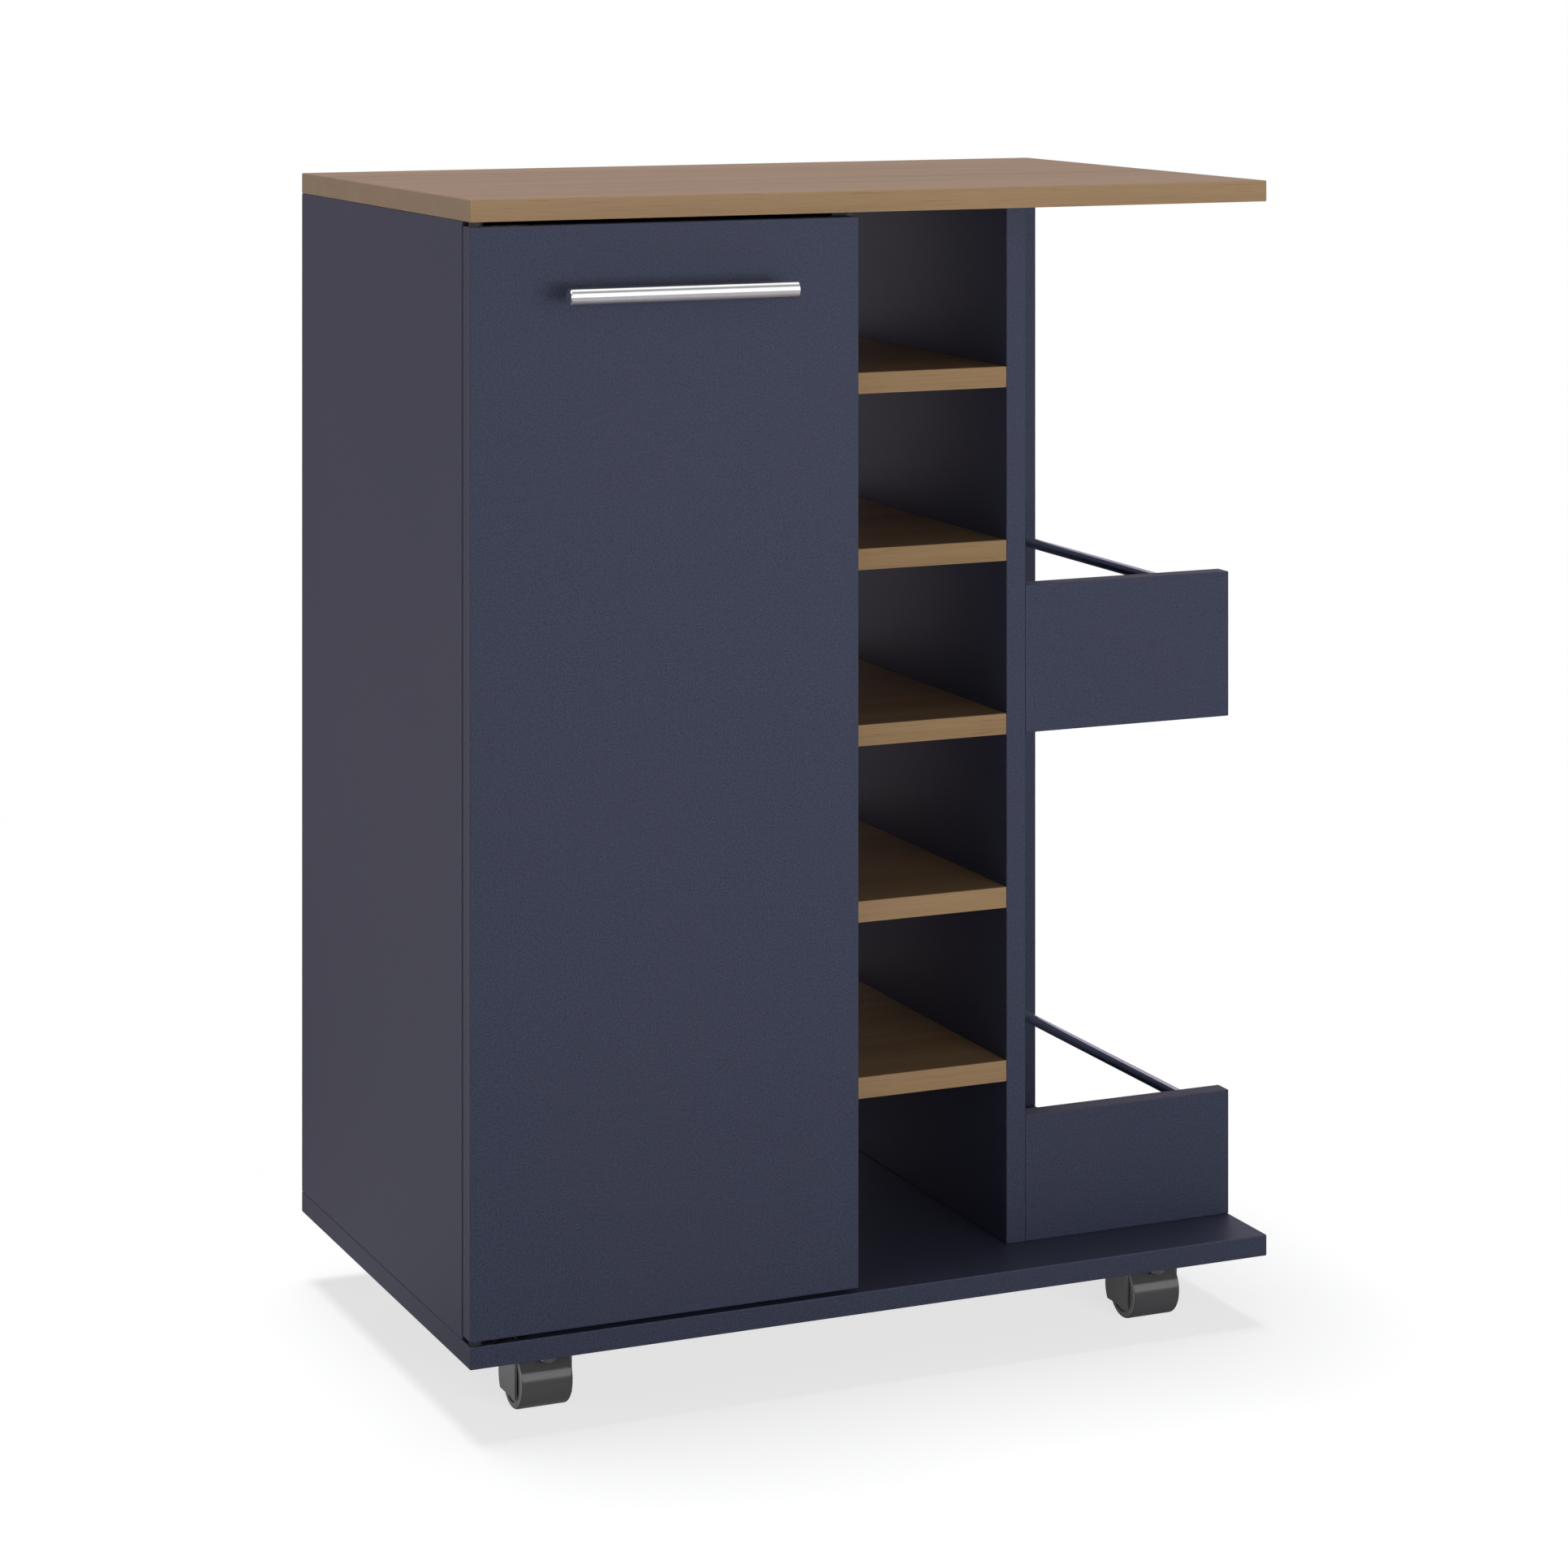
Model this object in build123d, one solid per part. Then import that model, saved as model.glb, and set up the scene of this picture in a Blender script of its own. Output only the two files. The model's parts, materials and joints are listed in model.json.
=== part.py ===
from build123d import *
import os

# Rolling pantry cart in laminated board: a cupboard with one door, a niche of fixed shelves
# that is open at the front and back, two side trays with guard rods, and four swivel casters.
#
# Millimetres, +Z up, the front faces -Y. The sizes below are laid out from the cart's front
# left corner (X to the right, Y to the back, Z from the floor). The finished parts are then
# moved so that the origin is on the floor, under the middle of the cart's outline.

# ---- driving sizes ----
cart_width = 600
cart_depth = 380
carcass_height = 768
caster_height = 50
board_thickness = 15
edge_radius = 0.8
fit_gap = 0.05                 # around every fastener in its hole

door_width = 280
door_gap = 3                   # above and below the door
door_back_gap = 1.5            # between the door and the panels behind it
cupboard_width = 252           # clear width between the left side panel and the divider
niche_width = 138              # clear width of the open niche
niche_setback = 55             # front of the niche and trays, behind the worktop's front
niche_pitch = 123
niche_shelf_count = 5
cupboard_shelf_count = 2
cupboard_shelf_setback = 45

tray_front_upper_height = 105
tray_front_lower_height = 90
rod_diameter = 8
rod_end_inset = 10             # rod axis from the cart's right end
rod_drop = 17                  # rod axis below the top of the tray front
rod_seat = 8                   # depth of the rod's blind seats

back_panel_thickness = 3
back_panel_seat = 7            # width of the rebate that holds the cupboard's back panel

handle_diameter = 12
handle_length = 164
handle_hole_spacing = 96
handle_reach = 35              # front of the bar, ahead of the door
handle_height = 754
post_diameter = 8

caster_inset_x = 68
caster_inset_front = 38
caster_inset_back = 55
caster_trail = 20
wheel_radius = 20
wheel_width = 37
hood_wall = 1.4
hood_gap = 0.4
skirt_thickness = 1.6
skirt_gap = 0.4
skirt_height = 9               # bottom of the hood's skirts, above the floor
skirt_lead = 11.5              # front edge of the skirts, ahead of the axle
axle_cover = 0.6               # skirt wall left over the axle's ends

# ---- derived places ----
base_bottom = caster_height
base_top = base_bottom + board_thickness
worktop_top = base_bottom + carcass_height
worktop_bottom = worktop_top - board_thickness
middle_height = (base_top + worktop_bottom) / 2

UP = (0, 0, 1)
DOWN = (0, 0, -1)
RIGHT = (1, 0, 0)
LEFT = (-1, 0, 0)
BACK = (0, 1, 0)
FRONT = (0, -1, 0)

door_bottom = base_top + door_gap
door_top = worktop_bottom - door_gap
panel_front = board_thickness + door_back_gap
panel_back = cart_depth - back_panel_thickness

left_inner = board_thickness
divider_left = left_inner + cupboard_width
divider_right = divider_left + board_thickness
right_panel_left = divider_right + niche_width
right_panel_right = right_panel_left + board_thickness
tray_back_front = cart_depth - board_thickness
tray_floor_front = niche_setback + board_thickness
tray_floor_bottom = middle_height - board_thickness / 2

left_middle = board_thickness / 2
divider_middle = divider_left + board_thickness / 2
right_middle = right_panel_left + board_thickness / 2
tray_back_middle = cart_depth - board_thickness / 2
tray_front_middle = niche_setback + board_thickness / 2
rod_x = cart_width - rod_end_inset
upper_rod_height = tray_floor_bottom + tray_front_upper_height - rod_drop
lower_rod_height = base_top + tray_front_lower_height - rod_drop

# The door turns on pins close to its outer front corner, so that its back corner clears
# the side panel and the open door stands in front of that panel.
pivot_x = 5.5
pivot_y = 6
pin_radius = 2
pin_gap = 0.05                 # round the pin in its socket
pin_tip_gap = 1
rivet_radius = 3
rivet_depth = 4
leaf_thickness = 1.5
leaf_span_x = (1.5, 41.5)
leaf_span_y = (1.5, 11.5)
leaf_screws_x = (20, 34)
leaf_screw_y = 6.5
pin_reach = door_gap + leaf_thickness + 2.5
washer_radius = 4.2
washer_gap = 0.1

handle_x = door_width / 2
handle_axis_y = handle_diameter / 2 - handle_reach
handle_chamfer = 0.8
spigot_radius = 3
spigot_end_gap = 1.2

catch_height = middle_height + 20
catch_front = panel_front + 1
catch_screws_y = (24, 40)
catch_screw_seat = divider_left - 4
strike_thickness = 1.2
strike_x = divider_left - 8
bumper_radius = 4
bumper_inset = 14              # from the door's top and bottom

hood_radius = wheel_radius + hood_gap + hood_wall
hood_half_width = wheel_width / 2 + skirt_gap + skirt_thickness
axle_radius = 2.5
wheel_bore_gap = 0.05
wheel_shoulder = 2
wheel_recess_radius = 16
wheel_recess_depth = 0.8
wheel_hub_radius = 6
stem_pin_radius = 3
stem_pin_length = 11.6
stem_thread_radius = 4
stem_thread_length = 11.8
stem_flange_radius = 8
insert_radius = 5.5
insert_depth = 12.5
boss_radius = 5.5
boss_length = 13.5
stem_flange_bottom = base_bottom - 1.4
hood_top = stem_flange_bottom - 0.1

casters = {
    "front_left": (caster_inset_x, caster_inset_front, 1),
    "front_right": (cart_width - caster_inset_x, caster_inset_front, 1),
    "rear_left": (caster_inset_x, cart_depth - caster_inset_back, -1),
    "rear_right": (cart_width - caster_inset_x, cart_depth - caster_inset_back, -1),
}

outline_middle_y = (cart_depth - handle_reach) / 2
to_part_frame = Location((-cart_width / 2, -outline_middle_y, 0))

# ---- fastener places ----
panel_middles = (left_middle, divider_middle, right_middle)
panel_screws_y = (95, 330)
panel_dowels_y = (140, 270)
panel_cams_y = (90, 325)
tray_screws_x = (480, 560)
tray_cams_x = (470, 570)
tray_back_dowel_x = 520
tray_floor_dowels_x = (480, 560)
tray_floor_dowels_y = (130, 290)
upper_front_dowels_z = (455, 510)
lower_front_dowels_z = (85, 130)
niche_dowels_y = (120, 300)
shelf_supports_y = (75, 345)
nail_count = 6
nail_margin = 40               # first and last nail, from the ends of the back panel

carcass_dowel_length = 27
carcass_dowel_in_board = 9     # the rest is in the panel's end
shelf_dowel_length = 24
shelf_dowel_in_panel = 8
niche_dowel_in_panel = 6
support_pin_in_panel = 8
support_pin_radius = 2.5
cam_radius = 7.45
cam_depth = 12.5
cam_drop = 24                  # cam axis below the worktop
cam_bolt_in_worktop = 10
cam_bolt_gap = 0.3


# ---- shape helpers ----
def block(x, y, z):
    """A box from its spans along X, Y and Z."""
    size = [high - low for low, high in (x, y, z)]
    middle = [(high + low) / 2 for low, high in (x, y, z)]
    return Pos(*middle) * Box(*size)


def board(x, y, z, radius=edge_radius):
    """A board with eased edges."""
    return fillet(block(x, y, z).edges(), radius)


def turned(profile, start, direction, grow=0.0):
    """A turned piece: profile lists (distance along the axis, radius) from its start."""
    first, last = profile[0][0] - grow, profile[-1][0] + grow
    outline = [(0, first)]
    for index, (distance, radius) in enumerate(profile):
        if index == 0:
            distance = first
        if index == len(profile) - 1:
            distance = last
        outline.append((radius + grow, distance))
    outline.append((0, last))
    section = Plane.XZ * make_face(Polyline(*outline, close=True))
    return Plane(origin=start, z_dir=direction).location * revolve(section, Axis.Z)


def rounded_bar(diameter, length, chamfer=0.6):
    """Profile of a plain round bar or dowel with chamfered ends."""
    radius = diameter / 2
    return [(0, radius - chamfer), (chamfer, radius), (length - chamfer, radius), (length, radius - chamfer)]


def countersunk(diameter, head_diameter, length):
    """Profile of a flush screw from the face of its head to its point."""
    radius, head = diameter / 2, head_diameter / 2
    point = 2 * diameter / 3
    return [(0, head), (0.3, head), (0.3 + head - radius, radius), (length - point, radius), (length, 0.4)]


def pan_head(diameter, head_diameter, head_height, length):
    """Profile of a machine screw with a pan head, from the top of its head."""
    radius, head = diameter / 2, head_diameter / 2
    return [
        (0, head - 1),
        (head_height / 2, head),
        (head_height, head),
        (head_height, radius),
        (head_height + length, radius),
    ]


def cross_slot(start, direction, width, depth, thickness=0.9):
    """The driver cross that is cut into a screw head."""
    bars = Box(width, thickness, 2 * depth) + Box(thickness, width, 2 * depth)
    return Plane(origin=start, z_dir=direction).location * bars


def overlaps(first, second):
    """True if two bounding boxes touch."""
    pairs = (
        (first.min.X, first.max.X, second.min.X, second.max.X),
        (first.min.Y, first.max.Y, second.min.Y, second.max.Y),
        (first.min.Z, first.max.Z, second.min.Z, second.max.Z),
    )
    return all(a_low <= b_high and b_low <= a_high for a_low, a_high, b_low, b_high in pairs)


# ---- fasteners: name -> list of (profile, start, direction) ----
def base_screw_places():
    """Long screws that come up through the base into the panels and tray boards."""
    places = [(x, y) for x in panel_middles for y in panel_screws_y]
    places += [(x, y) for x in tray_screws_x for y in (tray_back_middle, tray_front_middle)]
    return [(x, y, base_bottom) for x, y in places]


def carcass_dowel_places():
    """Dowels that locate the three panels and the tray back in the worktop and base."""
    places = [(x, y) for x in panel_middles for y in panel_dowels_y]
    places += [(tray_back_dowel_x, tray_back_middle)]
    top_start = worktop_bottom + carcass_dowel_in_board - carcass_dowel_length
    bottom = [(x, y, base_top - carcass_dowel_in_board) for x, y in places]
    top = [(x, y, top_start) for x, y in places]
    return bottom + top


def cam_faces():
    """Where each cam sits: its place on the board's face, and the way into the board."""
    sides = ((left_inner, LEFT), (divider_left, RIGHT), (right_panel_right, LEFT))
    faces = [(x, y, inward) for x, inward in sides for y in panel_cams_y]
    return faces + [(x, cart_depth, FRONT) for x in tray_cams_x]


def cam_bolt_places():
    """Bolts in the worktop's underside, one above each cam, in the middle of the panel."""
    places = []
    for x, y, inward in cam_faces():
        places.append((x + inward[0] * board_thickness / 2, y + inward[1] * board_thickness / 2))
    return [(x, y, worktop_bottom + cam_bolt_in_worktop) for x, y in places]


def niche_shelf_heights():
    """Middle height of each niche shelf, from the bottom up."""
    half = (niche_shelf_count - 1) / 2
    return [middle_height + (index - half) * niche_pitch for index in range(niche_shelf_count)]


def cupboard_shelf_bottoms():
    """Underside of each cupboard shelf, evenly spaced."""
    clear = worktop_bottom - base_top - cupboard_shelf_count * board_thickness
    cell = clear / (cupboard_shelf_count + 1)
    return [
        base_top + cell * (index + 1) + board_thickness * index
        for index in range(cupboard_shelf_count)
    ]


def niche_dowel_places():
    """Start and direction of the dowels in both ends of every niche shelf."""
    places = []
    for z in niche_shelf_heights():
        for y in niche_dowels_y:
            places.append(((divider_right - niche_dowel_in_panel, y, z), RIGHT))
            places.append(((right_panel_left + niche_dowel_in_panel, y, z), LEFT))
    return places


def shelf_support_places():
    """Start and direction of the pins under the cupboard shelves."""
    places = []
    for bottom in cupboard_shelf_bottoms():
        z = bottom - support_pin_radius
        for y in shelf_supports_y:
            places.append(((left_inner - support_pin_in_panel, y, z), RIGHT))
            places.append(((divider_left + support_pin_in_panel, y, z), LEFT))
    return places


def tray_dowel_places():
    """Start and direction of the dowels that hold the tray floor and both tray fronts."""
    panel_start = right_panel_right - shelf_dowel_in_panel
    back_start = tray_back_front + shelf_dowel_in_panel
    front_start = tray_floor_front - shelf_dowel_in_panel
    places = [((panel_start, y, middle_height), RIGHT) for y in tray_floor_dowels_y]
    places += [((x, back_start, middle_height), FRONT) for x in tray_floor_dowels_x]
    places += [((x, front_start, middle_height), BACK) for x in tray_floor_dowels_x]
    for z in upper_front_dowels_z + lower_front_dowels_z:
        places.append(((panel_start, tray_front_middle, z), RIGHT))
    return places


def nail_places():
    """Nails down both sides of the back panel, in the left panel and the divider."""
    x_places = (left_inner - back_panel_seat / 2, divider_left + back_panel_seat / 2)
    spacing = (worktop_bottom - base_top - 2 * nail_margin) / (nail_count - 1)
    z_places = [base_top + nail_margin + index * spacing for index in range(nail_count)]
    return [((x, cart_depth, z), FRONT) for x in x_places for z in z_places]


def hinge_screw_places(door_side):
    """Screws of the two hinge leaves in the door, or of the two sockets in the boards."""
    if door_side:
        ends = ((door_top, DOWN), (door_bottom, UP))
    else:
        ends = ((worktop_bottom, UP), (base_top, DOWN))
    return [((x, leaf_screw_y, z), way) for z, way in ends for x in leaf_screws_x]


shelf_dowel = rounded_bar(6, shelf_dowel_length)
cam_bolt_profile = [
    (0, 2.6), (0.8, 3), (10, 3), (10, 3.5), (11.5, 3.5),
    (11.5, 2.5), (30, 2.5), (30, 3.4), (35, 3.4), (35.5, 2.6),
]
shelf_support_profile = [(0, 2.2), (0.5, 2.5), (8, 2.5), (8, 4), (9.2, 4), (9.2, 2.5), (16.5, 2.5), (17, 2.2)]
nail_profile = [(0, 1.9), (0.8, 1.9), (0.8, 0.7), (15, 0.7), (16, 0.2)]
catch_screw_places = [((catch_screw_seat, y, catch_height), RIGHT) for y in catch_screws_y]
strike_screw_place = ((strike_x, board_thickness + strike_thickness, catch_height), FRONT)
handle_screw_head = 2.4
handle_screw_x = [handle_x + side * handle_hole_spacing / 2 for side in (-1, 1)]

fasteners = {
    "base_screws": [(countersunk(5, 9.5, 50), place, UP) for place in base_screw_places()],
    "carcass_dowels": [(rounded_bar(8, carcass_dowel_length), place, UP) for place in carcass_dowel_places()],
    "cam_bolts": [(cam_bolt_profile, place, DOWN) for place in cam_bolt_places()],
    "niche_shelf_dowels": [(shelf_dowel, start, way) for start, way in niche_dowel_places()],
    "shelf_supports": [(shelf_support_profile, start, way) for start, way in shelf_support_places()],
    "tray_dowels": [(shelf_dowel, start, way) for start, way in tray_dowel_places()],
    "back_panel_nails": [(nail_profile, start, way) for start, way in nail_places()],
    "hinge_socket_screws": [(countersunk(3, 6, 11), start, way) for start, way in hinge_screw_places(False)],
    "hinge_leaf_screws": [(countersunk(3, 6, 16), start, way) for start, way in hinge_screw_places(True)],
    "catch_screws": [(countersunk(3, 5.6, 12), start, way) for start, way in catch_screw_places],
    "strike_screw": [(countersunk(3, 5.6, 11), *strike_screw_place)],
    "handle_screws": [
        (
            pan_head(4, 8, handle_screw_head, board_thickness + 10),
            (x, board_thickness + handle_screw_head, handle_height),
            FRONT,
        )
        for x in handle_screw_x
    ],
}
# Width and depth of the driver cross in each kind of screw head.
crossed_fasteners = {
    "base_screws": (5.4, 2.2),
    "hinge_socket_screws": (3.6, 1.2),
    "hinge_leaf_screws": (3.6, 1.2),
    "catch_screws": (3.4, 1.2),
    "strike_screw": (3.4, 1.2),
    "handle_screws": (4.8, 1.3),
}


def fastener_solids(name):
    """The finished solids of one kind of fastener, with driver crosses where they have them."""
    solids = []
    for profile, start, way in fasteners[name]:
        solid = turned(profile, start, way)
        if name in crossed_fasteners:
            width, depth = crossed_fasteners[name]
            solid = solid - cross_slot(start, way, width, depth)
        solids.append(solid)
    return solids


def fastener_cutters():
    """Every fastener again, a little larger, to cut its own hole."""
    return [
        turned(profile, start, way, fit_gap)
        for places in fasteners.values()
        for profile, start, way in places
    ]


cutters = [(cutter, cutter.bounding_box()) for cutter in fastener_cutters()]


def fitted(piece):
    """The piece with the holes of all fasteners that reach into it."""
    limits = piece.bounding_box()
    reached = [cutter for cutter, box in cutters if overlaps(limits, box)]
    return piece - reached if reached else piece


# ---- carcass ----
def panel_rebate(x):
    """The step in a panel's back edge where the back panel lies."""
    return block(x, (panel_back, cart_depth + 1), (base_top - 1, worktop_bottom + 1))


def cams():
    """Round cam housings, each with its bolt's channel and a driver cross."""
    solids = []
    for (x, y, inward), bolt in zip(cam_faces(), fasteners["cam_bolts"]):
        start = (x, y, worktop_bottom - cam_drop)
        disc = turned([(0.1, cam_radius - 0.5), (0.6, cam_radius), (cam_depth, cam_radius)], start, inward)
        channel = turned(*bolt, cam_bolt_gap)
        solids.append(disc - channel - cross_slot(start, inward, 7, 2, 1.4))
    return solids


def cam_holes():
    profile = [(-1, cam_radius + fit_gap), (cam_depth, cam_radius + fit_gap)]
    return [
        turned(profile, (x, y, worktop_bottom - cam_drop), inward, fit_gap)
        for x, y, inward in cam_faces()
    ]


def left_side_panel():
    panel = board((0, left_inner), (panel_front, cart_depth), (base_top, worktop_bottom))
    panel -= panel_rebate((left_inner - back_panel_seat, left_inner + 1))
    return fitted(panel - cam_holes())


def divider_panel():
    panel = board((divider_left, divider_right), (panel_front, cart_depth), (base_top, worktop_bottom))
    panel -= panel_rebate((divider_left - 1, divider_left + back_panel_seat))
    return fitted(panel - cam_holes())


def right_side_panel():
    span_x = (right_panel_left, right_panel_right)
    panel = board(span_x, (niche_setback, cart_depth), (base_top, worktop_bottom))
    return fitted(panel - cam_holes())


def tray_back_board():
    span_x = (right_panel_right, cart_width)
    panel = board(span_x, (tray_back_front, cart_depth), (base_top, worktop_bottom))
    return fitted(panel - cam_holes() - rod_seats())


def worktop():
    top = board((0, cart_width), (0, cart_depth), (worktop_bottom, worktop_top))
    top -= socket_pocket(worktop_bottom, 1)
    return fitted(top)


def base_board():
    base = board((0, cart_width), (0, cart_depth), (base_bottom, base_top))
    base -= socket_pocket(base_top, -1)
    insert_hole = [(-1, insert_radius), (insert_depth + 0.5, insert_radius)]
    for x, y, _ in casters.values():
        base -= turned(insert_hole, (x, y, base_bottom), UP, fit_gap)
    return fitted(base)


def back_panel():
    """Thin panel that closes the cupboard's back. The niche beside it is open behind."""
    margin = 0.5
    span_x = (left_inner - back_panel_seat + margin, divider_left + back_panel_seat - margin)
    span_z = (base_top + margin, worktop_bottom - margin)
    return fitted(block(span_x, (panel_back, cart_depth), span_z))


def niche_shelf(middle):
    span_z = (middle - board_thickness / 2, middle + board_thickness / 2)
    return fitted(board((divider_right, right_panel_left), (niche_setback, cart_depth), span_z))


def cupboard_shelf(bottom):
    """Loose shelf with a notch over the collar of each support pin."""
    side_gap = 0.5
    collar_notch = [(7, 4.6), (9.6, 4.6)]
    span_x = (left_inner + side_gap, divider_left - side_gap)
    span_y = (cupboard_shelf_setback, panel_back - side_gap)
    shelf = board(span_x, span_y, (bottom, bottom + board_thickness))
    for start, way in shelf_support_places():
        shelf -= turned(collar_notch, start, way)
    return shelf


# ---- side trays ----
rod_length = tray_back_front - tray_floor_front + 2 * rod_seat
rod_start = tray_floor_front - rod_seat


def rod_seats():
    """Blind holes for the guard rods in the tray fronts and the tray back."""
    radius = rod_diameter / 2
    return [
        turned([(0, radius), (rod_length, radius)], (rod_x, rod_start, z), BACK, fit_gap)
        for z in (upper_rod_height, lower_rod_height)
    ]


def guard_rod(height):
    return turned(rounded_bar(rod_diameter, rod_length), (rod_x, rod_start, height), BACK)


def tray_front(bottom, height):
    span_x = (right_panel_right, cart_width)
    front = board(span_x, (niche_setback, tray_floor_front), (bottom, bottom + height))
    return fitted(front - rod_seats())


def tray_floor():
    span_x = (right_panel_right, cart_width)
    span_z = (tray_floor_bottom, tray_floor_bottom + board_thickness)
    return fitted(board(span_x, (tray_floor_front, tray_back_front), span_z))


# ---- door, hinges and catch ----
def socket_pocket(face, way):
    """Recess for a hinge socket plate in a board's face, with room for the pin beyond it."""
    depth = leaf_thickness + fit_gap
    span_z = sorted((face - way, face + way * depth))
    grown_x = (leaf_span_x[0] - fit_gap, leaf_span_x[1] + fit_gap)
    grown_y = (leaf_span_y[0] - fit_gap, leaf_span_y[1] + fit_gap)
    pin_room = [(0, pin_radius + 0.6), (pin_reach - door_gap + pin_tip_gap, pin_radius + 0.6)]
    relief = turned(pin_room, (pivot_x, pivot_y, face), (0, 0, way))
    return [block(grown_x, grown_y, span_z), relief]


def hinge_socket(face, way):
    """Steel plate let into the worktop or the base, with the hole that the pin turns in."""
    plate = block(leaf_span_x, leaf_span_y, sorted((face, face + way * leaf_thickness)))
    plate = fillet(plate.edges().filter_by(Axis.Z), 2)
    hole_radius = pin_radius + pin_gap
    hole_profile = [(-1, hole_radius), (2 * leaf_thickness, hole_radius)]
    return fitted(plate - turned(hole_profile, (pivot_x, pivot_y, face), (0, 0, way)))


def hinge_leaf(face, way):
    """Steel plate let into the door's end, with a riveted pin that stands out along way."""
    plate = block(leaf_span_x, leaf_span_y, sorted((face, face - way * leaf_thickness)))
    plate = fitted(fillet(plate.edges().filter_by(Axis.Z), 2))
    tip = rivet_depth + pin_reach
    rivet_profile = [(0, rivet_radius), (1, rivet_radius)]
    pin_profile = rivet_profile + [(1, pin_radius), (tip - 0.5, pin_radius), (tip, pin_radius - 0.5)]
    pin = turned(pin_profile, (pivot_x, pivot_y, face - way * rivet_depth), (0, 0, way))
    return plate + pin


def hinge_washers():
    """Nylon washers that hold the door's gap above and below."""
    ring_profile = [(washer_gap, washer_radius), (door_gap - washer_gap, washer_radius)]
    bore_radius = pin_radius + washer_gap
    bore_profile = [(-1, bore_radius), (door_gap + 1, bore_radius)]
    solids = []
    for low in (base_top, door_top):
        place = (pivot_x, pivot_y, low)
        solids.append(turned(ring_profile, place, UP) - turned(bore_profile, place, UP))
    return solids


def door_panel():
    door = board((0, door_width), (0, board_thickness), (door_bottom, door_top), 1)
    rivet_room = [(0, rivet_radius + 0.1), (rivet_depth + 0.2, rivet_radius + 0.1)]
    for face, way in ((door_top, -1), (door_bottom, 1)):
        door -= socket_pocket(face, way)
        door -= turned(rivet_room, (pivot_x, pivot_y, face), (0, 0, way))
    return fitted(door)


def handle_bar():
    """Round bar with chamfered ends and a blind seat for each post."""
    start = (handle_x - handle_length / 2, handle_axis_y, handle_height)
    bar = turned(rounded_bar(handle_diameter, handle_length, handle_chamfer), start, RIGHT)
    seat_profile = [(0, spigot_radius), (handle_diameter / 2 + 1, spigot_radius)]
    for x in handle_screw_x:
        bar -= turned(seat_profile, (x, handle_axis_y, handle_height), BACK, fit_gap)
    return bar


def handle_posts():
    """Posts from the door to the bar, with a spigot in the bar and a threaded blind hole."""
    bar_radius = handle_diameter / 2
    post_radius = post_diameter / 2
    reach = -handle_axis_y - bar_radius + 1
    end = reach + bar_radius - spigot_end_gap
    profile = [(0, post_radius), (reach, post_radius), (reach, spigot_radius), (end, spigot_radius)]
    saddle = turned(
        [(0, bar_radius), (handle_length, bar_radius)],
        (handle_x - handle_length / 2, handle_axis_y, handle_height),
        RIGHT,
        fit_gap,
    )
    solids = []
    for x in handle_screw_x:
        post = turned(profile, (x, 0, handle_height), FRONT)
        spigot = turned([(reach - 1, spigot_radius), (end, spigot_radius)], (x, 0, handle_height), FRONT)
        solids.append(fitted(post - saddle + spigot))
    return solids


def catch_housing():
    """Magnet holder on the divider, with the slot that the magnet floats in."""
    span_z = (catch_height - 14, catch_height + 14)
    housing = fillet(block((divider_left - 12, divider_left), (catch_front, 46), span_z).edges(), 1)
    pocket_x = (divider_left - 10.6, divider_left - 4.2)
    pocket = block(pocket_x, (panel_front, 30), (catch_height - 11, catch_height + 11))
    recess_x = (divider_left - 13, catch_screw_seat)
    screw_recess = block(recess_x, (31, 45), (catch_height - 4, catch_height + 4))
    return fitted(housing - pocket - screw_recess)


def catch_magnet():
    """Magnet bar between two steel pole plates, level with the panel's front edge."""
    span_x = (divider_left - 10.4, divider_left - 4.4)
    return block(span_x, (panel_front + 0.2, 22), (catch_height - 10.8, catch_height + 10.8))


def strike_plate():
    """Thin steel plate on the door's back, facing the magnet."""
    span_y = (board_thickness, board_thickness + strike_thickness)
    plate = block((strike_x - 7, strike_x + 7), span_y, (catch_height - 16, catch_height + 16))
    return fitted(fillet(plate.edges().filter_by(Axis.Y), 3))


def door_bumpers():
    """Soft pads on the door's back, at the top and bottom of its free edge."""
    profile = [(0, bumper_radius), (0.8, bumper_radius), (door_back_gap - 0.1, bumper_radius - 1)]
    return [
        turned(profile, (divider_middle, board_thickness, z), BACK)
        for z in (door_bottom + bumper_inset, door_top - bumper_inset)
    ]


# ---- casters: each is modelled round its stem axis, with the wheel behind it ----
def caster_stem():
    """Threaded stem with a flange under the base and the pin that the hood turns on."""
    flange_height = base_bottom - stem_flange_bottom

    def ended(radius, length, chamfer):
        return [(0, radius), (length - chamfer, radius), (length, radius - chamfer)]

    flange = turned(ended(stem_flange_radius, flange_height, 0.4), (0, 0, stem_flange_bottom), UP)
    thread = turned(ended(stem_thread_radius, stem_thread_length, 0.8), (0, 0, base_bottom), UP)
    pin = turned(ended(stem_pin_radius, stem_pin_length, 0.6), (0, 0, stem_flange_bottom), DOWN)
    return flange + thread + pin


def caster_insert():
    """Sleeve in the base board that the stem screws into."""
    sleeve_profile = [(0.4, insert_radius - 0.6), (1, insert_radius), (insert_depth, insert_radius)]
    bore_profile = [(-1, stem_thread_radius), (insert_depth + 1, stem_thread_radius)]
    sleeve = turned(sleeve_profile, (0, 0, base_bottom), UP)
    return sleeve - turned(bore_profile, (0, 0, base_bottom), UP, fit_gap)


def across(radius, half_width):
    """A cylinder about the wheel's axle."""
    return turned([(-half_width, radius), (half_width, radius)], (0, caster_trail, wheel_radius), RIGHT)


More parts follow.
